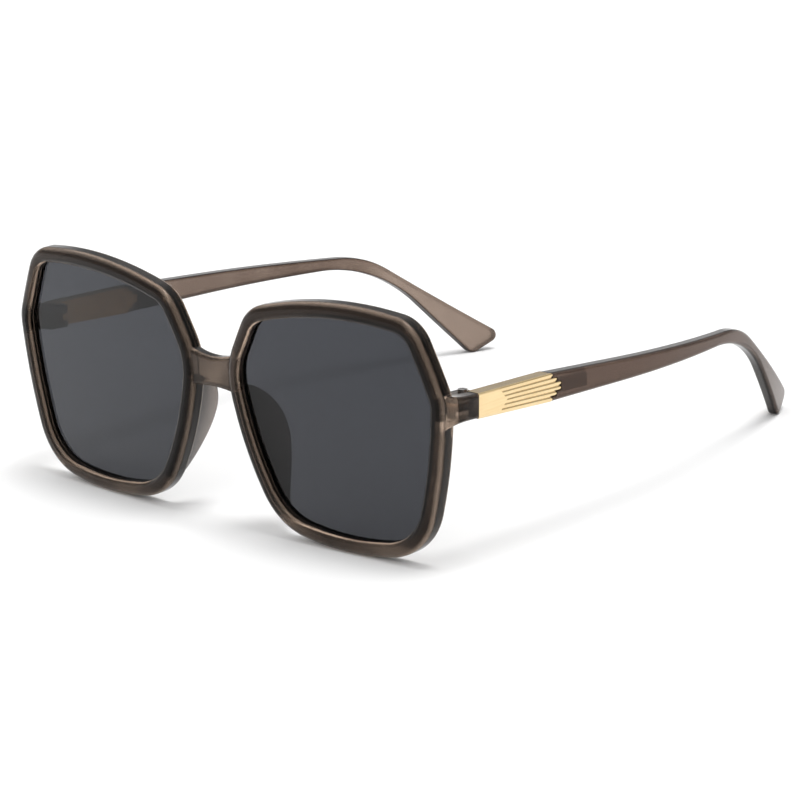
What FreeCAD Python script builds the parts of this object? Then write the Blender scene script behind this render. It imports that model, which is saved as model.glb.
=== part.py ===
import FreeCAD, Part
import math
import os
import Sketcher

os.makedirs("parts", exist_ok=True)
Vector = FreeCAD.Vector
Rotation = FreeCAD.Rotation
Placement = FreeCAD.Placement
doc = FreeCAD.newDocument("oversized_sunglasses")

# Driving sizes, in millimetres and degrees
SIZES = {
    # lens box, with the gap across the bridge
    "lens_width": 59.0,
    "lens_height": 54.0,
    "lens_gap": 17.0,
    "lens_thickness": 2.0,
    "lens_recess": 2.0,
    "lens_bite": 0.8,
    "lens_play": 0.05,
    # the six corners of the lens outline, measured in from the box
    "temple_corner_drop": 18.3,
    "temple_corner_radius": 7.5,
    "top_temple_inset": 4.6,
    "top_temple_drop": 1.2,
    "top_temple_radius": 6.1,
    "top_nasal_inset": 4.1,
    "top_nasal_drop": 3.9,
    "top_nasal_radius": 6.8,
    "nasal_corner_drop": 20.0,
    "nasal_corner_radius": 13.6,
    "low_nasal_inset": 6.7,
    "low_nasal_lift": 1.1,
    "low_nasal_radius": 14.8,
    "low_temple_inset": 3.9,
    "low_temple_lift": 1.0,
    "low_temple_radius": 13.1,
    # the bowed sides between those corners
    "temple_upper_bow": 200.0,
    "top_bow": 100.0,
    "nasal_upper_bow": 200.0,
    "nasal_lower_bow": 75.0,
    "bottom_bow": 75.0,
    "temple_lower_bow": 120.0,
    # rims and the wrap of the whole front
    "front_curve": 700.0,
    "rim_width": 3.6,
    "rim_depth": 4.6,
    "rim_front_round": 1.9,
    "rim_inner_round": 1.0,
    "rim_back_round": 0.7,
    # bridge
    "bridge_rise": 3.8,
    "bridge_height": 7.3,
    "bridge_saddle": 20.0,
    "bridge_arch": 40.0,
    "bridge_inset": 0.6,
    "bridge_recess": 0.9,
    "bridge_thickness": 3.4,
    "bridge_round": 1.0,
    # end pieces, measured from the joint with the temple
    "joint_drop": 1.1,
    "temple_slope": 4.55,
    "end_reach": 1.7,
    "end_depth": 10.2,
    "end_setback": 0.6,
    "end_root_width": 5.0,
    "end_flare_top": 1.3,
    "end_flare_low": 2.5,
    "end_sweep": 2.7,
    "end_round": 0.8,
    # hinge
    "hinge_inset": 2.0,
    "hinge_back": 0.8,
    "hinge_height": 5.0,
    "knuckle_radius": 1.75,
    "knuckle_root": 4.0,
    "eye_height": 1.6,
    "eye_radius": 1.6,
    "eye_web_depth": 2.2,
    "hinge_play": 0.15,
    "joint_gap": 0.1,
    "screw_radius": 0.7,
    "screw_play": 0.04,
    "screw_head_radius": 1.15,
    "screw_head_height": 0.9,
    "screw_head_sink": 0.4,
    "screw_slot": 0.3,
    # ferrule
    "joint_height": 5.7,
    "crown_height": 6.7,
    "ferrule_thickness": 3.6,
    "rib_count": 6,
    "rib_radius": 0.8,
    "rib_sink": 0.12,
    "rib_root": 0.6,
    "crown_reach": 27.4,
    "crown_step": 1.5,
    "panel_edge": 7.3,
    "panel_point": 10.0,
    "panel_depth": 1.6,
    "panel_bevel": 0.35,
    "seam_reach": 22.0,
    "seam_width": 0.25,
    "tenon_reach": 37.2,
    "tenon_height": 3.2,
    "tenon_thickness": 1.8,
    "tenon_inset": 0.9,
    "tenon_play": 0.05,
    # temples, seen from the side
    "temple_height": 6.7,
    "temple_neck": 2.9,
    "bend_length": 42.0,
    "bend_rise": -0.7,
    "bend_radius": 25.6,
    "ear_length": 46.5,
    "ear_radius": 39.4,
    "tip_reach": 136.5,
    "tip_drop": 27.5,
    "tip_angle": 60.0,
    "tip_width": 8.6,
    "tip_round": 2.0,
    # temples, seen from above
    "temple_thickness": 3.6,
    "temple_straight": 49.0,
    "temple_outer_curve": 200.0,
    "temple_inner_curve": 203.0,
    "temple_outer_round": 0.9,
    "temple_inner_round": 0.7,
    # nose pads
    "pad_top_drop": 2.2,
    "pad_bottom_lift": 3.5,
    "pad_depth": 8.1,
    "pad_lip": 0.7,
    "pad_root": 1.0,
    "pad_thickness": 1.6,
    "pad_flare": 13.0,
}

# Places worked out from those sizes
PLACES = {
    "lens_x": "(sizes.lens_gap + sizes.lens_width) / 2",
    "temple_corner_x": "lens_x + sizes.lens_width / 2 - sizes.temple_corner_radius",
    "temple_corner_z": "sizes.lens_height / 2 - sizes.temple_corner_drop",
    "top_temple_x": "lens_x + sizes.lens_width / 2 - sizes.top_temple_inset - sizes.top_temple_radius",
    "top_temple_z": "sizes.lens_height / 2 - sizes.top_temple_drop - sizes.top_temple_radius",
    "top_nasal_x": "lens_x - sizes.lens_width / 2 + sizes.top_nasal_inset + sizes.top_nasal_radius",
    "top_nasal_z": "sizes.lens_height / 2 - sizes.top_nasal_drop - sizes.top_nasal_radius",
    "nasal_corner_x": "lens_x - sizes.lens_width / 2 + sizes.nasal_corner_radius",
    "nasal_corner_z": "sizes.lens_height / 2 - sizes.nasal_corner_drop",
    "low_nasal_x": "lens_x - sizes.lens_width / 2 + sizes.low_nasal_inset + sizes.low_nasal_radius",
    "low_nasal_z": "-sizes.lens_height / 2 + sizes.low_nasal_lift + sizes.low_nasal_radius",
    "low_temple_x": "lens_x + sizes.lens_width / 2 - sizes.low_temple_inset - sizes.low_temple_radius",
    "low_temple_z": "-sizes.lens_height / 2 + sizes.low_temple_lift + sizes.low_temple_radius",
    "bridge_top_z": "nasal_corner_z + sizes.bridge_rise",
    "bridge_low_z": "bridge_top_z - sizes.bridge_height",
    "bridge_half": "sizes.lens_gap / 2 + sizes.lens_bite - sizes.bridge_inset",
    "joint_x": "sizes.lens_gap / 2 + sizes.lens_width + sizes.rim_width - sizes.lens_bite + sizes.end_reach",
    "joint_y": "joint_x^2 / (2 * sizes.front_curve) + sizes.end_depth",
    "joint_z": "temple_corner_z - sizes.joint_drop",
    "hinge_x": "-sizes.ferrule_thickness - sizes.hinge_inset",
    "joint_pitch": "sizes.joint_height / sizes.rib_count",
    "crown_pitch": "sizes.crown_height / sizes.rib_count",
    "crown_widening": "(crown_pitch - joint_pitch) / sizes.crown_reach",
    "temple_start": "sizes.crown_reach - (sizes.rib_count / 2 - 1) * sizes.crown_step",
    "bend_y": "sizes.tip_reach - sizes.bend_length",
    "ear_y": "sizes.tip_reach - sizes.ear_length",
    "toe_y": "sizes.tip_reach - sizes.tip_round * cos(sizes.tip_angle)"
             " - (sizes.tip_width / 2 - sizes.tip_round) * sin(sizes.tip_angle)",
    "toe_z": "-sizes.tip_drop + sizes.tip_round * sin(sizes.tip_angle)"
             " - (sizes.tip_width / 2 - sizes.tip_round) * cos(sizes.tip_angle)",
    "heel_y": "sizes.tip_reach - sizes.tip_round * cos(sizes.tip_angle)"
              " + (sizes.tip_width / 2 - sizes.tip_round) * sin(sizes.tip_angle)",
    "heel_z": "-sizes.tip_drop + sizes.tip_round * sin(sizes.tip_angle)"
              " + (sizes.tip_width / 2 - sizes.tip_round) * cos(sizes.tip_angle)",
    "bend_z": "sizes.bend_rise - sizes.bend_radius",
    "bend_top_radius": "sizes.bend_radius + sizes.temple_neck / 2",
    "pad_top_z": "nasal_corner_z - sizes.pad_top_drop",
    "pad_bottom_z": "sizes.pad_bottom_lift - sizes.lens_height / 2",
    "ear_z": "sizes.bend_rise - sizes.temple_neck / 2 - sizes.ear_radius",
}


def fill_sheet(name, cells, formula):
    """Put the named values of a dictionary into a sheet of the document."""
    sheet = doc.addObject("Spreadsheet::Sheet", name)
    for row, (alias, content) in enumerate(cells.items(), 1):
        sheet.set(f"A{row}", alias.replace("_", " "))
        sheet.set(f"B{row}", f"={content}" if formula else str(content))
        sheet.setAlias(f"B{row}", alias)
    doc.recompute()
    return sheet


sizes = fill_sheet("sizes", SIZES, formula=False)
places = fill_sheet("places", PLACES, formula=True)


def size(alias):
    return float(sizes.get(alias))


def place(alias):
    return float(places.get(alias))


def value(expression):
    """The present value of an expression over the sheets."""
    return float(sizes.evalExpression(expression))


def add(kind, name, **bindings):
    """Add an object and bind its properties to expressions over the sheets."""
    made = doc.addObject(kind, name)
    for prop, expression in bindings.items():
        made.setExpression(prop.replace("__", "."), expression)
    return made


def turned(made, axis, angle):
    made.Placement = Placement(made.Placement.Base, Rotation(axis, angle))
    return made


def box(name, low, span):
    """A box from its low corner and its spans, all given as expressions."""
    return add("Part::Box", name, Length=span[0], Width=span[1], Height=span[2],
               Placement__Base__x=low[0], Placement__Base__y=low[1], Placement__Base__z=low[2])


def cylinder(name, base, radius, height, axis="z", rise=0):
    """A cylinder along Z, along X, or along Y with a rise in degrees."""
    made = add("Part::Cylinder", name, Radius=radius, Height=height)
    if axis == "x":
        turned(made, Vector(0, 1, 0), 90)
    if axis == "y":
        turned(made, Vector(1, 0, 0), rise - 90)
    for letter, expression in zip("xyz", base):
        made.setExpression(f"Placement.Base.{letter}", expression)
    return made


def fuse(name, pieces):
    made = doc.addObject("Part::MultiFuse", name)
    made.Shapes = pieces
    return made


def boolean(kind, name, base, tool):
    made = doc.addObject(f"Part::{kind}", name)
    made.Base = base
    made.Tool = tool
    return made


def mirrored(name, source):
    made = doc.addObject("Part::Mirroring", name)
    made.Source = source
    made.Normal = Vector(1, 0, 0)
    return made


def extruded(name, sketch, direction, forward, backward):
    made = add("Part::Extrusion", name, LengthFwd=forward, LengthRev=backward)
    made.Base = sketch
    made.DirMode = "Custom"
    made.Dir = direction
    made.Solid = True
    return made


def rounded(name, base, radius_of):
    """Round the edges of an object for which radius_of gives a radius."""
    doc.recompute()
    made = doc.addObject("Part::Fillet", name)
    made.Base = base
    chosen = []
    for number, edge in enumerate(base.Shape.Edges, 1):
        radius = radius_of(edge)
        if radius:
            chosen.append((number, radius, radius))
    made.Edges = chosen
    doc.recompute()
    return made


def middle(edge):
    return edge.valueAt((edge.FirstParameter + edge.LastParameter) / 2)


def heading(edge):
    return edge.tangentAt((edge.FirstParameter + edge.LastParameter) / 2)


class Outline:
    """A closed sketch whose points and radii are bound to the sheets."""

    START, END, CENTRE = range(1, 4)

    def __init__(self, name, rotation):
        self.sketch = doc.addObject("Sketcher::SketchObject", name)
        self.sketch.Placement = Placement(Vector(), rotation)

    def line(self, start, end):
        return self.sketch.addGeometry(Part.LineSegment(Vector(*start, 0), Vector(*end, 0)))

    def arc(self, centre, radius, first, last):
        """An arc that runs counter-clockwise from the first angle to the last, in radians."""
        circle = Part.Circle(Vector(*centre, 0), Vector(0, 0, 1), radius)
        while last < first:
            last += 2 * math.pi
        return self.sketch.addGeometry(Part.ArcOfCircle(circle, first, last))

    def join(self, first, first_end, second, second_end, smooth=False):
        kind = "Tangent" if smooth else "Coincident"
        self.sketch.addConstraint(Sketcher.Constraint(kind, first, first_end, second, second_end))

    def level(self, line):
        self.sketch.addConstraint(Sketcher.Constraint("Horizontal", line))

    def upright(self, line):
        self.sketch.addConstraint(Sketcher.Constraint("Vertical", line))

    def bind(self, constraint, expression):
        number = self.sketch.addConstraint(constraint)
        self.sketch.setExpression(f"Constraints[{number}]", expression)

    def across(self, edge, point, expression):
        self.bind(Sketcher.Constraint("DistanceX", -1, 1, edge, point, value(expression)), expression)

    def up(self, edge, point, expression):
        self.bind(Sketcher.Constraint("DistanceY", -1, 1, edge, point, value(expression)), expression)

    def radius(self, arc, expression):
        self.bind(Sketcher.Constraint("Radius", arc, value(expression)), expression)


# Sketch planes: the front view, the side view and the view from above
FRONT = Rotation(Vector(1, 0, 0), 90)
SIDE = Rotation(Vector(1, 1, 1), 120)
ABOVE = Rotation()

# Edges closer than this to where they are looked for are the ones meant
TOUCH = 0.01

# Sections of the lofted pieces, how late the end piece swells towards its rim, and how early a pad does
END_SECTIONS = 6
END_SWELL = 4
PAD_SECTIONS = 8
PAD_SWELL = 0.72

# Lens outline: six corner arcs joined by six bowed sides, counter-clockwise from the temple
CORNERS = ["temple_corner", "top_temple", "top_nasal", "nasal_corner", "low_nasal", "low_temple"]
SIDES = ["temple_upper", "top", "nasal_upper", "nasal_lower", "bottom", "temple_lower"]


def outline_arcs(offset):
    """Centre, radius and end angles of each arc of the lens outline, grown by an offset."""
    centres = [Vector(place(corner + "_x"), place(corner + "_z"), 0) for corner in CORNERS]
    radii = [size(corner + "_radius") + offset for corner in CORNERS]
    bows = [size(side + "_bow") + offset for side in SIDES]
    count = len(CORNERS)
    hubs = []
    for number in range(count):
        after = (number + 1) % count
        chord = centres[after] - centres[number]
        near = bows[number] - radii[number]
        far = bows[number] - radii[after]
        along = (near ** 2 - far ** 2 + chord.Length ** 2) / (2 * chord.Length)
        aside = math.sqrt(near ** 2 - along ** 2)
        unit = chord / chord.Length
        hubs.append(centres[number] + unit * along + Vector(-unit.y, unit.x, 0) * aside)
    arcs = []
    for number in range(count):
        arrive = centres[number] - hubs[number - 1]
        leave = centres[number] - hubs[number]
        onward = centres[(number + 1) % count] - hubs[number]
        turn = [math.atan2(ray.y, ray.x) for ray in (arrive, leave, onward)]
        arcs.append((centres[number], radii[number], turn[0], turn[1]))
        arcs.append((hubs[number], bows[number], turn[1], turn[2]))
    return arcs


def draw_outline(outline, growth):
    """Add the lens outline, grown by an expression, to a sketch."""
    edges = []
    for centre, radius, first, last in outline_arcs(value(growth)):
        edges.append(outline.arc((centre.x, centre.y), radius, first, last))
    for number, edge in enumerate(edges):
        after = edges[(number + 1) % len(edges)]
        outline.join(edge, Outline.END, after, Outline.START, smooth=True)
    for edge, corner in zip(edges[::2], CORNERS):
        outline.across(edge, Outline.CENTRE, f"places.{corner}_x")
        outline.up(edge, Outline.CENTRE, f"places.{corner}_z")
        outline.radius(edge, f"sizes.{corner}_radius + {growth}")
    for edge, side in zip(edges[1::2], SIDES):
        outline.radius(edge, f"sizes.{side}_bow + {growth}")


def front_shell(name, depth, thickness):
    """The curved slice of the front between two depths behind its front surface."""
    outer = cylinder(name + "_outer", ("0", "sizes.front_curve", "-sizes.lens_height"),
                     f"sizes.front_curve - ({depth})", "2 * sizes.lens_height")
    inner = cylinder(name + "_inner", ("0", "sizes.front_curve", "-sizes.lens_height"),
                     f"sizes.front_curve - ({depth}) - ({thickness})", "2 * sizes.lens_height")
    return boolean("Cut", name, outer, inner)


def curved_plate(name, outline, depth, thickness):
    """A front-view outline cut out of the curved front between two depths."""
    prism = extruded(name + "_prism", outline.sketch, Vector(0, 1, 0), "places.joint_y", "sizes.rim_depth")
    return boolean("Common", name, prism, front_shell(name + "_shell", depth, thickness))


def on_joint(made):
    """Stand an object that is drawn in the temple's own frame on the joint plane."""
    made.Placement = Placement(Vector(), Rotation(Vector(1, 0, 0), -size("temple_slope")))
    for letter in "xyz":
        made.setExpression(f"Placement.Base.{letter}", f"places.joint_{letter}")
    return made


def lens():
    outline = Outline("lens_outline", FRONT)
    draw_outline(outline, "(-sizes.lens_play)")
    return curved_plate("lens_plate", outline, "sizes.lens_recess + sizes.lens_play",
                        "sizes.lens_thickness - 2 * sizes.lens_play")


def lens_groove():
    outline = Outline("groove_outline", FRONT)
    draw_outline(outline, "0")
    return curved_plate("lens_groove", outline, "sizes.lens_recess", "sizes.lens_thickness")


def rim():
    """One rim, rounded front and back."""
    outline = Outline("rim_outline", FRONT)
    draw_outline(outline, "(sizes.rim_width - sizes.lens_bite)")
    draw_outline(outline, "(-sizes.lens_bite)")
    ring = curved_plate("rim_ring", outline, "0", "sizes.rim_depth")
    edges = []
    for centre, radius, first, last in outline_arcs(0):
        circle = Part.Circle(centre, Vector(0, 0, 1), radius)
        edges.append(Part.ArcOfCircle(circle, first, last + 2 * math.pi * (last < first)).toShape())
    lens_face = Part.Face(Part.Wire(edges))

    def radius_of(edge):
        spot = middle(edge)
        depth = size("front_curve") - math.hypot(spot.x, spot.y - size("front_curve"))
        inside = lens_face.isInside(Vector(spot.x, spot.z, 0), TOUCH, True)
        if abs(depth) < TOUCH:
            return size("rim_inner_round") if inside else size("rim_front_round")
        if abs(depth - size("rim_depth")) < TOUCH:
            return size("rim_back_round")
        return None

    return rounded("rim", ring, radius_of)


def bridge():
    """The saddle between the rims, with a dipped top edge and an arched lower edge."""
    half = place("bridge_half")
    saddle = size("bridge_saddle")
    arch = size("bridge_arch")
    saddle_z = place("bridge_top_z") + saddle
    arch_z = place("bridge_low_z") - arch
    saddle_turn = math.asin(half / saddle)
    arch_turn = math.asin(half / arch)
    top_z = saddle_z - saddle * math.cos(saddle_turn)
    low_z = arch_z + arch * math.cos(arch_turn)
    outline = Outline("bridge_outline", FRONT)
    top = outline.arc((0, saddle_z), saddle, -math.pi / 2 - saddle_turn, -math.pi / 2 + saddle_turn)
    low = outline.arc((0, arch_z), arch, math.pi / 2 - arch_turn, math.pi / 2 + arch_turn)
    left = outline.line((half, low_z), (half, top_z))
    right = outline.line((-half, top_z), (-half, low_z))
    outline.join(low, Outline.START, left, Outline.START)
    outline.join(left, Outline.END, top, Outline.END)
    outline.join(top, Outline.START, right, Outline.START)
    outline.join(right, Outline.END, low, Outline.END)
    outline.upright(left)
    outline.upright(right)
    outline.across(left, Outline.START, "places.bridge_half")
    outline.across(right, Outline.START, "-places.bridge_half")
    for arc, height, bow in ((top, "places.bridge_top_z + sizes.bridge_saddle", "sizes.bridge_saddle"),
                             (low, "places.bridge_low_z - sizes.bridge_arch", "sizes.bridge_arch")):
        outline.across(arc, Outline.CENTRE, "0 mm")
        outline.up(arc, Outline.CENTRE, height)
        outline.radius(arc, bow)
    plate = curved_plate("bridge_plate", outline, "sizes.bridge_recess", "sizes.bridge_thickness")

    def radius_of(edge):
        lengthwise = abs(heading(edge).x) > abs(heading(edge).z)
        return size("bridge_round") if lengthwise and abs(middle(edge).x) < half / 2 else None

    return rounded("bridge", plate, radius_of)


def rounded_rectangle(name, left, right, low, top, corner):
    """A rectangle with round corners in the front view, its sides given as expressions."""
    outline = Outline(name, FRONT)
    radius = value(corner)
    across = [f"{right} - {corner}", f"{left} + {corner}", f"{left} + {corner}", f"{right} - {corner}"]
    up = [f"{top} - {corner}", f"{top} - {corner}", f"{low} + {corner}", f"{low} + {corner}"]
    centres = [(value(x), value(z)) for x, z in zip(across, up)]
    turns = [number * math.pi / 2 for number in range(5)]
    arcs = [outline.arc(centre, radius, *turns[number:number + 2]) for number, centre in enumerate(centres)]
    for number, arc in enumerate(arcs):
        after = (number + 1) % 4
        offset = (radius * math.cos(turns[number + 1]), radius * math.sin(turns[number + 1]))
        side = outline.line(*[(x + offset[0], z + offset[1]) for x, z in (centres[number], centres[after])])
        outline.join(arc, Outline.END, side, Outline.START, smooth=True)
        outline.join(side, Outline.END, arcs[after], Outline.START, smooth=True)
        outline.across(arc, Outline.CENTRE, across[number])
        outline.up(arc, Outline.CENTRE, up[number])
        outline.radius(arc, corner)
    return outline.sketch


def end_piece():
    """The lug that narrows from the rim back to the joint, lofted in the temple's frame."""
    sections = []
    for number in range(END_SECTIONS):
        share = number / (END_SECTIONS - 1)
        swell = share ** END_SWELL
        section = rounded_rectangle(
            f"end_section_{number}",
            f"-sizes.ferrule_thickness - {share} * (sizes.end_root_width - sizes.ferrule_thickness)",
            f"-{swell} * sizes.end_sweep",
            f"-sizes.joint_height / 2 - {swell} * sizes.end_flare_low",
            f"sizes.joint_height / 2 + {swell} * sizes.end_flare_top", "sizes.end_round")
        section.setExpression("Placement.Base.y", f"{share} * (sizes.end_setback - sizes.end_depth)")
        sections.append(section)
    lug = doc.addObject("Part::Loft", "end_piece")
    lug.Sections = sections
    lug.Solid = True
    return lug


def knuckles():
    """The upper and lower hinge knuckles, with the webs that tie them to the end piece."""
    pieces = []
    half_eye = "sizes.eye_height / 2 + sizes.hinge_play"
    height = f"sizes.hinge_height / 2 - ({half_eye})"
    for name, low in (("upper", half_eye), ("lower", "-sizes.hinge_height / 2")):
        pieces.append(cylinder(name + "_knuckle", ("places.hinge_x", "sizes.hinge_back", low),
                               "sizes.knuckle_radius", height))
        pieces.append(box(name + "_knuckle_neck",
                          ("places.hinge_x - sizes.knuckle_radius", "-sizes.knuckle_root", low),
                          ("2 * sizes.knuckle_radius", "sizes.knuckle_root + sizes.hinge_back", height)))
        pieces.append(box(name + "_knuckle_web", ("places.hinge_x", "-sizes.knuckle_root", low),
                          ("sizes.hinge_inset + sizes.ferrule_thickness / 2", "sizes.knuckle_root", height)))
    return pieces


def hinge_bores():
    """The screw's hole through both knuckles and the sunk seat of its head."""
    hole = cylinder("screw_hole", ("places.hinge_x", "sizes.hinge_back", "-sizes.hinge_height"),
                    "sizes.screw_radius + sizes.screw_play", "2 * sizes.hinge_height")
    seat = cylinder("screw_seat",
                    ("places.hinge_x", "sizes.hinge_back", "sizes.hinge_height / 2 - sizes.screw_head_sink"),
                    "sizes.screw_head_radius + sizes.screw_play", "sizes.hinge_height")
    return [hole, seat]


def front_frame():
    """Both rims, the bridge, the end pieces and the moulded knuckles, in one moulding."""
    arm = on_joint(boolean("Cut", "end_and_knuckles", fuse("end_solid", [end_piece()] + knuckles()),
                           fuse("hinge_bores", hinge_bores())))
    half = boolean("Cut", "left_half", fuse("left_half_solid", [rim(), arm]), lens_groove())
    return fuse("front_frame", [half, mirrored("right_half", half), bridge()])


def hinge_screw():
    """A slotted screw, turned about the hinge axis and slotted across its head."""
    body = doc.addObject("PartDesign::Body", "screw_body")
    planes = {feature.Role: feature for feature in body.Origin.OriginFeatures}
    profile = body.newObject("Sketcher::SketchObject", "screw_profile")
    profile.AttachmentSupport = (planes["XZ_Plane"], [""])
    profile.MapMode = "FlatFace"
    head = size("screw_head_radius")
    shank = size("screw_radius")
    under = size("hinge_height") / 2 - size("screw_head_sink")
    top = under + size("screw_head_height")
    foot = -size("hinge_height") / 2
    corners = [(0, foot), (shank, foot), (shank, under), (head, under), (head, top), (0, top)]
    for number, corner in enumerate(corners):
        after = corners[(number + 1) % len(corners)]
        profile.addGeometry(Part.LineSegment(Vector(*corner, 0), Vector(*after, 0)))
    count = len(corners)
    for number in range(count):
        profile.addConstraint(Sketcher.Constraint("Coincident", number, 2, (number + 1) % count, 1))
        profile.addConstraint(Sketcher.Constraint("Vertical" if number % 2 else "Horizontal", number))
    profile.addConstraint(Sketcher.Constraint("PointOnObject", 0, 1, -2))
    bound = [("DistanceX", 1, shank, "sizes.screw_radius"), ("DistanceX", 3, head, "sizes.screw_head_radius"),
             ("DistanceY", 0, foot, "-sizes.hinge_height / 2"),
             ("DistanceY", 2, under, "sizes.hinge_height / 2 - sizes.screw_head_sink"),
             ("DistanceY", 4, top,
              "sizes.hinge_height / 2 - sizes.screw_head_sink + sizes.screw_head_height")]
    for kind, edge, now, expression in bound:
        number = profile.addConstraint(Sketcher.Constraint(kind, -1, 1, edge, 1, now))
        profile.setExpression(f"Constraints[{number}]", expression)
    turning = body.newObject("PartDesign::Revolution", "screw_turning")
    turning.Profile = profile
    turning.ReferenceAxis = (profile, ["V_Axis"])
    turning.Angle = 360
    body.setExpression("Placement.Base.x", "places.hinge_x")
    body.setExpression("Placement.Base.y", "sizes.hinge_back")
    slot = box("screw_slot_bar",
               ("places.hinge_x - sizes.screw_head_radius", "sizes.hinge_back - sizes.screw_slot / 2",
                "sizes.hinge_height / 2 - sizes.screw_head_sink + sizes.screw_head_height / 2"),
               ("2 * sizes.screw_head_radius", "sizes.screw_slot", "sizes.screw_head_height"))
    return boolean("Cut", "hinge_screw", body, slot)


def finger(name, number, play, cover):
    """One finger of the ferrule's crown, seen from the side as a bar with a round end."""
    middle_ribs = (size("rib_count") - 1) / 2
    rank = number - middle_ribs
    end = f"(sizes.crown_reach - {abs(rank) - 0.5} * sizes.crown_step)"
    thickness = f"sizes.ferrule_thickness + 2 * {cover}"
    inner = f"-sizes.ferrule_thickness - {cover}"
    bar = box(name + "_bar",
              (inner, "sizes.joint_gap", f"{rank} * places.joint_pitch - places.crown_pitch / 2 - {play}"),
              (thickness, f"{end} - sizes.joint_gap", f"places.crown_pitch + 2 * {play}"))
    turned(bar, Vector(1, 0, 0), rib_rise(rank))
    level = f"{rank} * (places.joint_pitch + places.crown_widening * {end})"
    radius = f"places.crown_pitch / 2 + {play}"
    tip = cylinder(name + "_tip", (inner, end, level), radius, thickness, axis="x")
    return [bar, tip]


def rib_rise(rank):
    """The angle at which a rib fans out from the middle of the ferrule, in degrees."""
    return math.degrees(math.atan(rank * place("crown_widening")))


def crown(name, play, cover):
    pieces = []
    for number in range(int(size("rib_count"))):
        pieces += finger(f"{name}_{number}", number, play, cover)
    return fuse(name, pieces)


def chevron_panel():
    """The plain panel at the joint, whose rear end is a shallow point."""
    front_half = "sizes.joint_height / 2"
    rear_half = "(sizes.joint_height / 2 + sizes.rib_count / 2 * places.crown_widening * sizes.panel_edge)"
    corners = [("sizes.joint_gap", f"-{front_half}"), ("sizes.panel_edge", f"-{rear_half}"),
               ("sizes.panel_point", "0 mm"),
               ("sizes.panel_edge", rear_half), ("sizes.joint_gap", front_half)]
    spots = [(value(across), value(up)) for across, up in corners]
    outline = Outline("panel_outline", SIDE)
    lines = [outline.line(spot, after) for spot, after in zip(spots, spots[1:] + spots[:1])]
    for line, after, (across, up) in zip(lines, lines[1:] + lines[:1], corners):
        outline.join(line, Outline.END, after, Outline.START)
        outline.across(line, Outline.START, across)
        outline.up(line, Outline.START, up)
    slab = extruded("panel_slab", outline.sketch, Vector(1, 0, 0), "0", "sizes.panel_depth")
    doc.recompute()
    bevel = doc.addObject("Part::Chamfer", "chevron_panel")
    bevel.Base = slab
    bevel.Edges = [(number, size("panel_bevel"), size("panel_bevel"))
                   for number, rim_edge in enumerate(slab.Shape.Edges, 1)
                   if middle(rim_edge).x > -TOUCH and middle(rim_edge).y > size("joint_gap") + TOUCH]
    return bevel


def ferrule():
    """The cast metal piece: panel, ribs with a stepped crown, hinge eye and tenon."""
    bars = [box("ferrule_core", ("-sizes.ferrule_thickness", "sizes.joint_gap", "-sizes.crown_height"),
                ("sizes.ferrule_thickness - sizes.rib_root", "sizes.tenon_reach", "2 * sizes.crown_height"))]
    ribs = int(size("rib_count"))
    for number in range(ribs):
        rank = number - (ribs - 1) / 2
        bars.append(cylinder(f"rib_{number}", ("-sizes.rib_radius - sizes.rib_sink", "sizes.joint_gap",
                                               f"{rank} * places.joint_pitch"),
                             "sizes.rib_radius", "sizes.tenon_reach", axis="y", rise=rib_rise(rank)))
    ribbed = boolean("Common", "ribbed_crown", fuse("ribbed_bar", bars), crown("ferrule_crown", "0", "0"))
    eye = cylinder("hinge_eye", ("places.hinge_x", "sizes.hinge_back", "-sizes.eye_height / 2"),
                   "sizes.eye_radius", "sizes.eye_height")
    web = box("eye_web", ("places.hinge_x", "sizes.joint_gap", "-sizes.eye_height / 2"),
              ("sizes.hinge_inset + sizes.ferrule_thickness / 2", "sizes.eye_web_depth", "sizes.eye_height"))
    tenon = box("tenon",
                ("-sizes.tenon_inset - sizes.tenon_thickness", "sizes.panel_point",
                 "-sizes.tenon_height / 2"),
                ("sizes.tenon_thickness", "sizes.tenon_reach - sizes.panel_point", "sizes.tenon_height"))
    solid = fuse("ferrule_solid", [ribbed, chevron_panel(), eye, web, tenon])
    bore = cylinder("eye_bore", ("places.hinge_x", "sizes.hinge_back", "-sizes.eye_height"),
                    "sizes.screw_radius + sizes.screw_play", "2 * sizes.eye_height")
    seam = box("ferrule_seam",
               ("-sizes.ferrule_thickness - sizes.seam_width", "sizes.seam_reach", "-sizes.crown_height"),
               ("2 * sizes.seam_width", "sizes.seam_width", "2 * sizes.crown_height"))
    return boolean("Cut", "ferrule", solid, fuse("ferrule_cuts", [bore, seam]))


def leaving_angle(centre, radius, target, target_radius, turn):
    """The angle at which a line leaves a circle to touch another; a negative radius takes its far side."""
    gap = (target[0] - centre[0], target[1] - centre[1])
    return math.atan2(gap[1], gap[0]) + turn * math.acos((radius - target_radius) / math.hypot(*gap))


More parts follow.
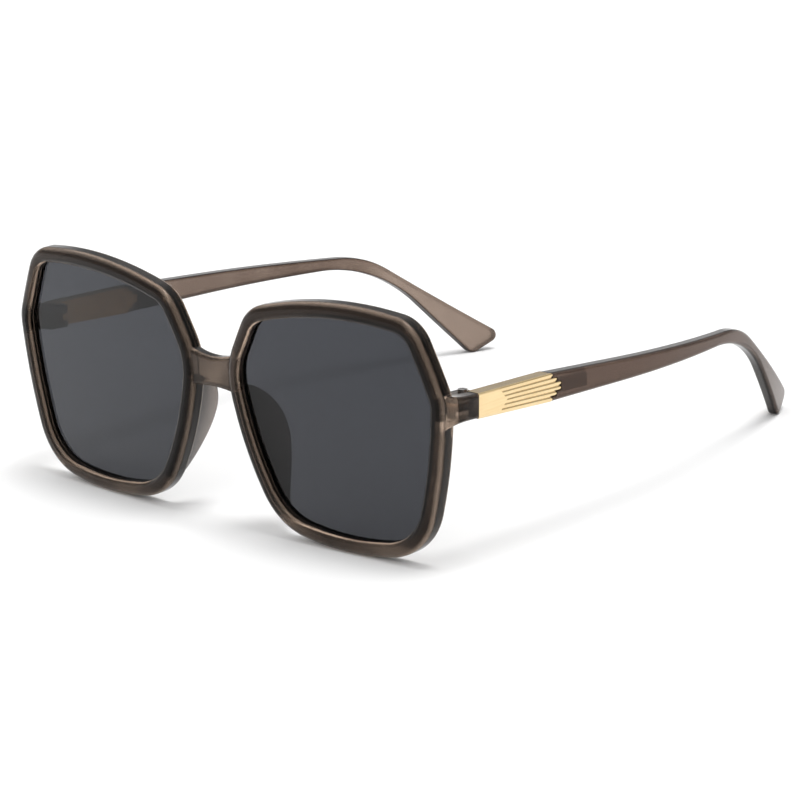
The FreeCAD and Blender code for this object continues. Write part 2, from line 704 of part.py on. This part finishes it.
def temple_side():
    """Side view of a temple: a tapering bar, a drop at the ear and a flared tip."""
    start = place("temple_start")
    half = size("temple_height") / 2
    bend = (place("bend_y"), place("bend_z"))
    over = place("bend_top_radius")
    ear = (place("ear_y"), place("ear_z"))
    under = size("ear_radius")
    toe = (place("toe_y"), place("toe_z"))
    heel = (place("heel_y"), place("heel_z"))
    corner = size("tip_round")
    ahead = -math.radians(size("tip_angle"))
    over_start = leaving_angle(bend, over, (start, half), 0, -1)
    over_end = leaving_angle(bend, over, heel, corner, 1)
    under_start = leaving_angle(ear, under, (start, -half), 0, -1)
    under_end = leaving_angle(ear, under, toe, -corner, 1)

    def at(centre, radius, angle):
        return (centre[0] + radius * math.cos(angle), centre[1] + radius * math.sin(angle))

    outline = Outline("temple_side", SIDE)
    low_line = outline.line((start, -half), at(ear, under, under_start))
    low_bend = outline.arc(ear, under, under_end, under_start)
    low_tip = outline.line(at(ear, under, under_end), at(toe, -corner, under_end))
    toe_arc = outline.arc(toe, corner, under_end - math.pi, ahead)
    tip_line = outline.line(at(toe, corner, ahead), at(heel, corner, ahead))
    heel_arc = outline.arc(heel, corner, ahead, over_end)
    top_tip = outline.line(at(heel, corner, over_end), at(bend, over, over_end))
    top_bend = outline.arc(bend, over, over_end, over_start)
    top_line = outline.line(at(bend, over, over_start), (start, half))
    front_line = outline.line((start, half), (start, -half))
    outline.join(front_line, Outline.END, low_line, Outline.START)
    outline.join(top_line, Outline.END, front_line, Outline.START)
    for first, first_end, second, second_end in (
            (low_line, Outline.END, low_bend, Outline.END), (low_bend, Outline.START, low_tip, Outline.START),
            (low_tip, Outline.END, toe_arc, Outline.START), (toe_arc, Outline.END, tip_line, Outline.START),
            (tip_line, Outline.END, heel_arc, Outline.START), (heel_arc, Outline.END, top_tip, Outline.START),
            (top_tip, Outline.END, top_bend, Outline.START),
            (top_bend, Outline.END, top_line, Outline.START)):
        outline.join(first, first_end, second, second_end, smooth=True)
    outline.upright(front_line)
    outline.across(front_line, Outline.START, "places.temple_start")
    outline.up(front_line, Outline.START, "sizes.temple_height / 2")
    outline.up(front_line, Outline.END, "-sizes.temple_height / 2")
    for arc, name, bow in ((low_bend, "ear", "sizes.ear_radius"),
                           (top_bend, "bend", "places.bend_top_radius"),
                           (toe_arc, "toe", "sizes.tip_round"), (heel_arc, "heel", "sizes.tip_round")):
        outline.across(arc, Outline.CENTRE, f"places.{name}_y")
        outline.up(arc, Outline.CENTRE, f"places.{name}_z")
        outline.radius(arc, bow)
    return extruded("temple_side_prism", outline.sketch, Vector(1, 0, 0),
                    "sizes.temple_thickness", "sizes.tip_reach")


def temple_plan():
    """A temple from above: straight behind the joint, then curving in round the head."""
    start = place("temple_start")
    straight = size("temple_straight")
    thick = size("temple_thickness")
    end = size("tip_reach") + size("tip_width")
    outer_radius = size("temple_outer_curve")
    inner_radius = size("temple_inner_curve")
    outer_turn = math.asin((end - straight) / outer_radius)
    inner_turn = math.asin((end - straight) / inner_radius)
    outer_end = -outer_radius + outer_radius * math.cos(outer_turn)
    inner_end = -thick - inner_radius + inner_radius * math.cos(inner_turn)
    outline = Outline("temple_plan", ABOVE)
    outer_line = outline.line((0, start), (0, straight))
    outer_arc = outline.arc((-outer_radius, straight), outer_radius, 0, outer_turn)
    end_line = outline.line((outer_end, end), (inner_end, end))
    inner_arc = outline.arc((-thick - inner_radius, straight), inner_radius, 0, inner_turn)
    inner_line = outline.line((-thick, straight), (-thick, start))
    start_line = outline.line((-thick, start), (0, start))
    outline.join(outer_line, Outline.END, outer_arc, Outline.START, smooth=True)
    outline.join(outer_arc, Outline.END, end_line, Outline.START)
    outline.join(end_line, Outline.END, inner_arc, Outline.END)
    outline.join(inner_arc, Outline.START, inner_line, Outline.START, smooth=True)
    outline.join(inner_line, Outline.END, start_line, Outline.START)
    outline.join(start_line, Outline.END, outer_line, Outline.START)
    for line in (outer_line, inner_line):
        outline.upright(line)
    for line in (start_line, end_line):
        outline.level(line)
    outline.across(outer_line, Outline.START, "0 mm")
    outline.across(inner_line, Outline.START, "-sizes.temple_thickness")
    outline.up(start_line, Outline.START, "places.temple_start")
    outline.up(end_line, Outline.START, "sizes.tip_reach + sizes.tip_width")
    for arc, name in ((outer_arc, "outer"), (inner_arc, "inner")):
        outline.up(arc, Outline.CENTRE, "sizes.temple_straight")
        outline.radius(arc, f"sizes.temple_{name}_curve")
    return extruded("temple_plan_prism", outline.sketch, Vector(0, 0, 1), "sizes.temple_height",
                    "sizes.tip_drop + sizes.tip_width")


def temple():
    """The moulded temple, notched round the ferrule's crown and mortised for its tenon."""
    blank = boolean("Common", "temple_blank", temple_side(), temple_plan())
    straight = size("temple_straight")
    start = place("temple_start")

    def curve_x(radius, y):
        return math.sqrt(radius ** 2 - max(0, y - straight) ** 2) - radius

    def radius_of(edge):
        spot = middle(edge)
        if abs(heading(edge).z) > 1 - TOUCH or spot.y < start + TOUCH:
            return None
        if abs(spot.x - curve_x(size("temple_outer_curve"), spot.y)) < TOUCH:
            return size("temple_outer_round")
        if abs(spot.x + size("temple_thickness") - curve_x(size("temple_inner_curve"), spot.y)) < TOUCH:
            return size("temple_inner_round")
        return None

    smooth = rounded("temple_rounded", blank, radius_of)
    mortise = box("tenon_mortise",
                  ("-sizes.tenon_inset - sizes.tenon_thickness - sizes.tenon_play", "sizes.panel_point",
                   "-sizes.tenon_height / 2 - sizes.tenon_play"),
                  ("sizes.tenon_thickness + 2 * sizes.tenon_play",
                   "sizes.tenon_reach + sizes.tenon_play - sizes.panel_point",
                   "sizes.tenon_height + 2 * sizes.tenon_play"))
    notch = crown("temple_notch", "sizes.tenon_play", "sizes.tenon_inset")
    return boolean("Cut", "temple", smooth, fuse("temple_cuts", [notch, mortise]))


def nasal_x(height):
    """Where the middle of the rim's flat back stands, on its nasal side, at a height."""
    offset = (size("rim_width") - size("lens_bite") - size("rim_back_round")) / 2
    spots = []
    for centre, radius, first, last in outline_arcs(offset):
        rise = (height - centre.y) / radius
        if abs(rise) < 1:
            angle = math.pi - math.asin(rise)
            if (angle - first) % (2 * math.pi) <= (last - first) % (2 * math.pi):
                spots.append(centre.x + radius * math.cos(angle))
    return min(spots)


def nose_pad():
    """A wing lofted along the nasal side of the rim, deepest a little below the bridge."""
    sections = []
    half = size("pad_thickness") / 2
    root = size("pad_root")
    for number in range(PAD_SECTIONS):
        share = number / (PAD_SECTIONS - 1)
        height = place("pad_top_z") + (place("pad_bottom_z") - place("pad_top_z")) * share
        swell = math.sin(math.pi * share ** PAD_SWELL)
        crest = f"sizes.pad_lip + {swell} * sizes.pad_depth - sizes.pad_thickness / 2"
        reach = value(crest)
        outline = Outline(f"pad_section_{number}", Rotation(Vector(0, 0, 1), -size("pad_flare")))
        x = nasal_x(height)
        y = size("rim_depth") + x ** 2 / (2 * size("front_curve"))
        outline.sketch.Placement.Base = Vector(x, y, height)
        tip = outline.arc((0, reach), half, 0, math.pi)
        left = outline.line((-half, reach), (-half, -root))
        foot = outline.line((-half, -root), (half, -root))
        right = outline.line((half, -root), (half, reach))
        outline.join(tip, Outline.END, left, Outline.START, smooth=True)
        outline.join(left, Outline.END, foot, Outline.START)
        outline.join(foot, Outline.END, right, Outline.START)
        outline.join(right, Outline.END, tip, Outline.START, smooth=True)
        outline.level(foot)
        outline.across(tip, Outline.CENTRE, "0 mm")
        outline.radius(tip, "sizes.pad_thickness / 2")
        outline.up(foot, Outline.START, "-sizes.pad_root")
        outline.up(tip, Outline.CENTRE, crest)
        sections.append(outline.sketch)
    wing = doc.addObject("Part::Loft", "pad_wing")
    wing.Sections = sections
    wing.Solid = True
    return wing


# The pieces, in the frame of the front: X to the wearer's left, Y back, Z up
front = front_frame()
on_left = {
    "lens": lens(),
    "nose_pad": boolean("Cut", "nose_pad", nose_pad(), front),
    "hinge_screw": on_joint(hinge_screw()),
    "ferrule": on_joint(ferrule()),
    "temple": on_joint(temple()),
}
front.Label = "front_frame"
nodes = [front]
for name, piece in on_left.items():
    piece.Label = "left_" + name
    twin = mirrored("right_" + name, piece)
    twin.Label = "right_" + name
    nodes += [piece, twin]
doc.recompute()
failed = [made.Name for made in doc.Objects if "Invalid" in made.State or "Error" in made.State]
if failed:
    raise RuntimeError(f"failed objects: {failed}")


# Stand the open glasses on the rims and the temple tips, over the centre of their footprint
def lowest(piece, lean):
    shape = piece.Shape.copy()
    shape.rotate(Vector(), Vector(1, 0, 0), lean)
    return shape.optimalBoundingBox().ZMin


def resting_lean():
    lean = 0.0
    for step in range(4):
        sink = lowest(on_left["temple"], lean) - lowest(front, lean)
        lean -= math.degrees(sink / (place("joint_y") + size("tip_reach")))
    return lean


lean = Rotation(Vector(1, 0, 0), resting_lean())
for node in nodes:
    node.Placement = Placement(Vector(), lean).multiply(node.Placement)
bounds = FreeCAD.BoundBox()
for node in nodes:
    bounds.add(node.Shape.optimalBoundingBox())
shift = Vector(-bounds.Center.x, -bounds.Center.y, -bounds.ZMin)
for node in nodes:
    node.Placement = Placement(shift, Rotation()).multiply(node.Placement)

# Check every node before anything is written
for node in nodes:
    if node.Shape.isNull() or not node.Shape.isValid():
        raise RuntimeError(f"{node.Label} has no valid shape")
    if len(node.Shape.Solids) != 1:
        raise RuntimeError(f"{node.Label} is {len(node.Shape.Solids)} solids")
for node in nodes:
    node.Shape.exportStep(f"parts/{node.Label}.step")
    print(node.Label, "volume", round(node.Shape.Volume, 1))
print("overall", bounds)
hinge = lean.multVec(Vector(place("joint_x"), place("joint_y"), place("joint_z"))) + shift
axis = lean.multiply(Rotation(Vector(1, 0, 0), -size("temple_slope")))
hinge += axis.multVec(Vector(place("hinge_x"), size("hinge_back"), 0))
print("hinge", hinge, axis.multVec(Vector(0, 0, 1)))
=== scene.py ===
import math

import bpy
from mathutils import Matrix, Vector

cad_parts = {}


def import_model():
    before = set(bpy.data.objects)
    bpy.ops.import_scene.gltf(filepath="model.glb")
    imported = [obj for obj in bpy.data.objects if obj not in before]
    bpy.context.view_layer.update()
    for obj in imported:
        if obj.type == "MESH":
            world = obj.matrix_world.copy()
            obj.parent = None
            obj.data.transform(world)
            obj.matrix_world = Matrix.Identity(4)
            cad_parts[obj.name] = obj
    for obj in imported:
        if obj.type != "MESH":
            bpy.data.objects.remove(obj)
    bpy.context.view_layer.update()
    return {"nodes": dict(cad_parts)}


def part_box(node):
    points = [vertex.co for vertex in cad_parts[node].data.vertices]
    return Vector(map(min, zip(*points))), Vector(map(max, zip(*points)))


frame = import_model()
nodes = frame["nodes"]

# The camera, at the photograph's viewing angle, in metres and degrees
CAMERA_AZIMUTH = 44.025
CAMERA_ELEVATION = 16.235
CAMERA_ROLL = 2.678
CAMERA_DISTANCE = 0.8629
CAMERA_TARGET = Vector((0.0, -0.07561, 0.02957))
CAMERA_ACROSS = 0.04401
CAMERA_UP = -0.00146
CAMERA_LENS = 167.3
CAMERA_NEAR = 0.01

# Colours, linear
# Painted shade: near-black for the front's side walls and inner walls, standing in for dark outlines and the
# shade beside the lenses
TAUPE_PAINTED_SHADE = (0.005, 0.0036, 0.0028)
# Painted highlight: pale for the front's rounded edges, standing in for the light their crest catches
TAUPE_PAINTED_HIGHLIGHT = (0.820, 0.615, 0.470)
TAUPE_FLANK = (0.027, 0.0185, 0.0138)
# Painted shade: dark for the temples' narrow top and bottom sides, standing in for their dark outlines
TEMPLE_PAINTED_SHADE = (0.020, 0.014, 0.011)
TEMPLE_FACE = (0.138, 0.089, 0.067)
TEMPLE_INSIDE = (0.395, 0.305, 0.248)
PAD_EDGE = (0.055, 0.046, 0.041)
PAD_FACE = (0.230, 0.190, 0.168)
LENS_LOW = (0.0405, 0.0425, 0.0490)
LENS_HIGH = (0.0430, 0.0458, 0.0540)
GOLD = (0.860, 0.670, 0.390)
GOLD_WORN = (0.780, 0.580, 0.310)
COPPER = (0.900, 0.560, 0.300)
COPPER_WORN = (0.800, 0.470, 0.240)
STEEL = (0.620, 0.610, 0.600)
STEEL_WORN = (0.400, 0.390, 0.380)
SATIN_GLOSS = (0.2, 0.2, 0.2)
LENS_GLOSS = (0.3, 0.3, 0.3)
FLOOR_WHITE = (0.98, 0.98, 0.98)
BACKDROP_WHITE = (1.0, 1.0, 1.0)
ROOM_GREY = (0.30, 0.30, 0.30)
CEILING_WHITE = (0.86, 0.86, 0.86)

# Light: heights of the backdrop's top, the dim room above it and the ceiling, on a sphere of radius 1
BACKDROP_TOP = 0.13
ROOM_LOW = 0.20
ROOM_HIGH = 0.33
CEILING = 0.60
KEY_SPOT = Vector((0.15, 0.09, 1.0))
KEY_STRENGTH = 1.45
KEY_BREADTH = 22.0
FILL_SPOT = Vector((0.2, -1.2, 0.7))
FILL_TARGET = Vector((0.0, -0.03, 0.03))
FILL_SIZE = 0.6
FILL_POWER = 2.0
FLOOR_SIZE = 40.0

# Tones on the ferrules' ramp: how far wear reaches, and where copper ends and gold starts
WEAR_SPAN = 0.4
GOLD_START = 0.6

# Colour ramps, as (tone, colour) stops
FRONT_TONES = [(0.10, TAUPE_PAINTED_SHADE), (0.28, TAUPE_PAINTED_HIGHLIGHT), (0.48, TAUPE_PAINTED_HIGHLIGHT), (0.80, TAUPE_FLANK)]
TEMPLE_TONES = [(0.03, TEMPLE_INSIDE), (0.20, TEMPLE_FACE), (0.35, TEMPLE_PAINTED_SHADE), (0.75, TEMPLE_PAINTED_SHADE),
                (0.95, TEMPLE_FACE)]
PAD_TONES = [(0.2, PAD_EDGE), (0.8, PAD_FACE)]
LENS_TONES = [(0.0, LENS_LOW), (1.0, LENS_HIGH)]
FERRULE_TONES = [(0.0, COPPER_WORN), (WEAR_SPAN, COPPER), (GOLD_START, GOLD_WORN), (1.0, GOLD)]
SCREW_TONES = [(0.3, STEEL_WORN), (0.7, STEEL)]
STUDIO_TONES = [(BACKDROP_TOP, BACKDROP_WHITE), (ROOM_LOW, ROOM_GREY), (ROOM_HIGH, ROOM_GREY),
                (CEILING, CEILING_WHITE)]

# How much light each plastic lets through, and how the surfaces bend and mirror it
FRONT_CLARITY = 0.88
TEMPLE_CLARITY = 0.65
PAD_CLARITY = 0.75
PLASTIC_IOR = 1.49
PLASTIC_MIRROR = 0.2
LENS_IOR = 1.5

# Roughness, from least to most
PLASTIC_ROUGHNESS = (0.11, 0.19)
LENS_ROUGHNESS = (0.004, 0.016)
GOLD_ROUGHNESS = (0.12, 0.22)
STEEL_ROUGHNESS = (0.20, 0.35)
FLOOR_ROUGHNESS = 0.9

# Where the front changes tone, in metres, and the tones over the end pieces and the bridge, and the painted
# light low on the rims, standing in for floor light glowing up into them
END_PIECE_REACH = 0.0080
END_PIECE_HEIGHT = 0.0065
END_PIECE_BLEND = 0.0010
END_PIECE_TONE = 0.77
BRIDGE_BLEND = 0.0030
BRIDGE_TONE = 0.77
PAINTED_FLOOR_GLOW_LOW = 0.004
PAINTED_FLOOR_GLOW_HIGH = 0.014
PAINTED_FLOOR_GLOW_TONE = 0.78

# The share of an end piece's height at which its tone starts to fade
END_PIECE_FADE = 0.85

# How long a temple's drop is and where the painted shade on its inside fades there, in metres, and the tone
# of that painted shade, which leaves the drop's inside looking lit
DROP_LENGTH = 0.036
DROP_BLEND = 0.009
TEMPLE_SHADE = 0.13

# How far a ferrule's surface faces away from the head where its copper ends and its gold is full
PLATING_EDGE = (0.2, 0.4)

# Noise, in features per metre, and depths, in metres
CLOUDS = 90.0
CLOUD_TONE = 0.06
GRAIN = 9000.0
GRAIN_DEPTH = 0.00002
GRAIN_STRENGTH = 0.3
POLISH_LINES = 2500.0
POLISH_STRETCH = (1.0, 0.04, 1.0)
POLISH_RANGE = (0.25, 0.65)
POLISH_DEPTH = 0.000004
POLISH_STRENGTH = 0.5
SCREW_MARKS = 4000.0
LENS_SMEARS = 40.0
NOISE_DETAIL = 3.0
FINE_DETAIL = 2.0

# Ranges that values are carried between
UNIT = (0.0, 1.0)
BOTH_WAYS = (-1.0, 1.0)


def rgba(colour):
    return (*colour, 1.0)


def fill_ramp(elements, stops):
    """Give a colour ramp its (position, colour) stops."""
    while len(elements) < len(stops):
        elements.new(1.0)
    for element, (position, colour) in zip(elements, stops):
        element.position = position
        element.color = rgba(colour)


# Materials
class Shader:
    """A node material with one surface shader, and helpers that add nodes to it."""

    def __init__(self, name):
        self.material = bpy.data.materials.new(name)
        self.material.use_nodes = True
        self.tree = self.material.node_tree
        self.surface = self.tree.nodes["Principled BSDF"]

    def set(self, **values):
        for name, value in values.items():
            self.surface.inputs[name.replace("_", " ")].default_value = value

    def add(self, kind, **inputs):
        made = self.tree.nodes.new(kind)
        for name, value in inputs.items():
            made.inputs[name.replace("_", " ")].default_value = value
        return made

    def link(self, source, target):
        self.tree.links.new(source, target)

    def split(self, source, axis):
        """One axis of a place or a normal in the row frame."""
        made = self.add("ShaderNodeSeparateXYZ")
        self.link(self.add("ShaderNodeTexCoord").outputs[source], made.inputs["Vector"])
        return made.outputs[axis]

    def join(self, operation, *values):
        """Values joined, or one value changed, by arithmetic."""
        made = self.add("ShaderNodeMath")
        made.operation = operation
        for value, socket in zip(values, made.inputs):
            self.link(value, socket)
        return made.outputs["Value"]

    def facing(self, axis):
        """How squarely the surface faces along an axis, from 0 to 1."""
        return self.join("ABSOLUTE", self.split("Normal", axis))

    def outward(self):
        """How squarely the surface faces away from the head, from 0 inside to 1 outside."""
        side = self.join("SIGN", self.split("Object", "X"))
        away = self.join("MULTIPLY", self.split("Normal", "X"), side)
        return self.carry(away, BOTH_WAYS, UNIT)

    def carry(self, value, old, new):
        """A value carried from its old range onto a new one and held within it."""
        made = self.add("ShaderNodeMapRange", From_Min=old[0], From_Max=old[1], To_Min=new[0], To_Max=new[1])
        self.link(value, made.inputs["Value"])
        return made.outputs["Result"]

    def noise(self, scale, detail=NOISE_DETAIL, stretch=(1.0, 1.0, 1.0)):
        """Smooth noise from 0 to 1, with its scale in features per metre."""
        made = self.add("ShaderNodeTexNoise", Scale=scale, Detail=detail)
        mapping = self.add("ShaderNodeMapping", Scale=stretch)
        self.link(self.add("ShaderNodeTexCoord").outputs["Object"], mapping.inputs["Vector"])
        self.link(mapping.outputs["Vector"], made.inputs["Vector"])
        return made.outputs["Fac"]

    def colour(self, value, stops):
        """The surface's colour, from a ramp over (position, colour) stops."""
        made = self.add("ShaderNodeValToRGB")
        fill_ramp(made.color_ramp.elements, stops)
        self.link(value, made.inputs["Fac"])
        self.link(made.outputs["Color"], self.surface.inputs["Base Color"])

    def roughness(self, value, limits):
        self.link(self.carry(value, UNIT, limits), self.surface.inputs["Roughness"])

    def bump(self, value, depth, strength):
        made = self.add("ShaderNodeBump", Strength=strength, Distance=depth)
        self.link(value, made.inputs["Height"])
        self.link(made.outputs["Normal"], self.surface.inputs["Normal"])


def moulded_plastic(shader, tone, stops, clarity):
    """Translucent satin plastic, coloured by a tone from 0 to 1, clouded and finely grained."""
    shader.set(Transmission_Weight=clarity, IOR=PLASTIC_IOR, Specular_IOR_Level=PLASTIC_MIRROR,
               Specular_Tint=rgba(SATIN_GLOSS))
    clouds = shader.carry(shader.noise(CLOUDS), UNIT, (-CLOUD_TONE, CLOUD_TONE))
    shader.colour(shader.join("ADD", tone, clouds), stops)
    grain = shader.noise(GRAIN, detail=FINE_DETAIL)
    shader.roughness(grain, PLASTIC_ROUGHNESS)
    shader.bump(grain, GRAIN_DEPTH, GRAIN_STRENGTH)
    return shader.material


def front_plastic():
    """The front: dark faces, painted highlights on the rounded edges, painted shade on the side walls,
    painted floor light low on the rims, and other tones over the end pieces and bridge.
    """
    shader = Shader("front_plastic")
    hinge_low, hinge_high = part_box("left_hinge_screw")
    hinge = (hinge_low + hinge_high) / 2.0
    start = hinge.y - END_PIECE_REACH
    depths = (start, start + END_PIECE_BLEND)
    behind = shader.carry(shader.split("Object", "Y"), depths, (0.0, END_PIECE_TONE))
    heights = (hinge.z - END_PIECE_HEIGHT, hinge.z + END_PIECE_HEIGHT)
    off_level = shader.join("ABSOLUTE", shader.carry(shader.split("Object", "Z"), heights, BOTH_WAYS))
    level = shader.carry(off_level, (END_PIECE_FADE, 1.0), (1.0, 0.0))
    end_pieces = shader.join("MULTIPLY", behind, level)
    # How squarely the surface faces front or back; the ramp paints shade on the side walls and a highlight
    # on the rounded edges from it
    flat = shader.join("MAXIMUM", shader.facing("Y"), end_pieces)
    lens_low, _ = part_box("left_lens")
    beside = shader.join("ABSOLUTE", shader.split("Object", "X"))
    bridge = shader.carry(beside, (lens_low.x - BRIDGE_BLEND, lens_low.x), (BRIDGE_TONE, 1.0))
    # Painted light low on the rims, standing in for floor light glowing up into them
    floor_glow = shader.carry(shader.split("Object", "Z"), (PAINTED_FLOOR_GLOW_LOW, PAINTED_FLOOR_GLOW_HIGH), (PAINTED_FLOOR_GLOW_TONE, 1.0))
    tone = shader.join("MINIMUM", shader.join("MINIMUM", flat, bridge), floor_glow)
    return moulded_plastic(shader, tone, FRONT_TONES, FRONT_CLARITY)


def temple_plastic():
    """The temples: brown outside, paler inside, with painted shade on their narrow sides and over the front
    of their insides, so that the insides of their drops look lit.
    """
    shader = Shader("temple_plastic")
    _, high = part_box("left_temple")
    drop = high.y - DROP_LENGTH
    # Painted shade over the front of the inside, fading out along the drop so that the drop's inside looks
    # lit
    shade = shader.carry(shader.split("Object", "Y"), (drop, drop + DROP_BLEND), (TEMPLE_SHADE, 0.0))
    tone = shader.join("ADD", shader.outward(), shade)
    return moulded_plastic(shader, tone, TEMPLE_TONES, TEMPLE_CLARITY)


def pad_plastic():
    """The nose pads: darker where they join the rims and paler towards their free edges."""
    shader = Shader("pad_plastic")
    low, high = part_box("left_nose_pad")
    depth = shader.carry(shader.split("Object", "Y"), (low.y, high.y), UNIT)
    return moulded_plastic(shader, depth, PAD_TONES, PAD_CLARITY)


def tinted_lens():
    """A dark polished lens, a little darker towards its lower edge."""
    shader = Shader("lens_tint")
    shader.set(Transmission_Weight=1.0, IOR=LENS_IOR, Specular_Tint=rgba(LENS_GLOSS))
    bottom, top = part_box("left_lens")
    shader.colour(shader.carry(shader.split("Object", "Z"), (bottom.z, top.z), UNIT), LENS_TONES)
    shader.roughness(shader.noise(LENS_SMEARS), LENS_ROUGHNESS)
    return shader.material


def plated_gold():
    """Polished gold plate, redder inside, with faint polishing lines along the temple."""
    shader = Shader("gold_plate")
    shader.set(Metallic=1.0)
    lines = shader.noise(POLISH_LINES, detail=FINE_DETAIL, stretch=POLISH_STRETCH)
    wear = shader.carry(lines, POLISH_RANGE, (0.0, WEAR_SPAN))
    plating = shader.carry(shader.outward(), PLATING_EDGE, (0.0, GOLD_START))
    shader.colour(shader.join("ADD", plating, wear), FERRULE_TONES)
    shader.roughness(lines, GOLD_ROUGHNESS)
    shader.bump(lines, POLISH_DEPTH, POLISH_STRENGTH)
    return shader.material


def screw_steel():
    """Turned steel with fine tool marks."""
    shader = Shader("screw_steel")
    shader.set(Metallic=1.0)
    marks = shader.noise(SCREW_MARKS)
    shader.colour(marks, SCREW_TONES)
    shader.roughness(marks, STEEL_ROUGHNESS)
    return shader.material


FINISHES = {
    "front_frame": front_plastic(),
    "temple": temple_plastic(),
    "nose_pad": pad_plastic(),
    "lens": tinted_lens(),
    "ferrule": plated_gold(),
    "hinge_screw": screw_steel(),
}
for node_name, piece in nodes.items():
    kind = node_name.removeprefix("left_").removeprefix("right_")
    for slot in piece.material_slots:
        slot.material = FINISHES[kind]


# The stage
def floor():
    bpy.ops.mesh.primitive_plane_add(size=FLOOR_SIZE, location=(0.0, 0.0, 0.0))
    made = bpy.context.object
    made.name = "floor"
    shader = Shader("floor_white")
    shader.set(Base_Color=rgba(FLOOR_WHITE), Roughness=FLOOR_ROUGHNESS)
    made.data.materials.append(shader.material)


def world():
    """A white backdrop round the horizon, a dim room above it and a bright ceiling."""
    made = bpy.data.worlds.new("studio")
    bpy.context.scene.world = made
    made.use_nodes = True
    tree = made.node_tree
    split = tree.nodes.new("ShaderNodeSeparateXYZ")
    ramp = tree.nodes.new("ShaderNodeValToRGB")
    fill_ramp(ramp.color_ramp.elements, STUDIO_TONES)
    tree.links.new(tree.nodes.new("ShaderNodeTexCoord").outputs["Generated"], split.inputs["Vector"])
    tree.links.new(split.outputs["Z"], ramp.inputs["Fac"])
    tree.links.new(ramp.outputs["Color"], tree.nodes["Background"].inputs["Color"])


def lamp(name, kind, power, spot, target):
    """A lamp at a spot, shining towards a target."""
    light = bpy.data.lights.new(name, kind)
    light.energy = power
    made = bpy.data.objects.new(name, light)
    bpy.context.scene.collection.objects.link(made)
    made.location = spot
    made.rotation_euler = (target - spot).to_track_quat("-Z", "Y").to_euler()
    return light


def camera():
    azimuth = math.radians(CAMERA_AZIMUTH)
    elevation = math.radians(CAMERA_ELEVATION)
    roll = math.radians(CAMERA_ROLL)
    across = Vector((math.cos(azimuth), math.sin(azimuth), 0.0))
    back = Vector((math.sin(azimuth) * math.cos(elevation), -math.cos(azimuth) * math.cos(elevation),
                   math.sin(elevation)))
    upward = back.cross(across)
    spot = CAMERA_TARGET + across * CAMERA_ACROSS + upward * CAMERA_UP + back * CAMERA_DISTANCE
    right = across * math.cos(roll) - upward * math.sin(roll)
    top = across * math.sin(roll) + upward * math.cos(roll)
    data = bpy.data.cameras.new("camera")
    data.lens = CAMERA_LENS
    data.clip_start = CAMERA_NEAR
    made = bpy.data.objects.new("camera", data)
    bpy.context.scene.collection.objects.link(made)
    turn = Matrix((right, top, back)).transposed().to_4x4()
    made.matrix_world = Matrix.Translation(spot) @ turn
    bpy.context.scene.camera = made


floor()
world()
key = lamp("key", "SUN", KEY_STRENGTH, KEY_SPOT, Vector())
key.angle = math.radians(KEY_BREADTH)
fill = lamp("fill", "AREA", FILL_POWER, FILL_SPOT, FILL_TARGET)
fill.size = FILL_SIZE
camera()
bpy.context.scene.view_settings.view_transform = "Standard"
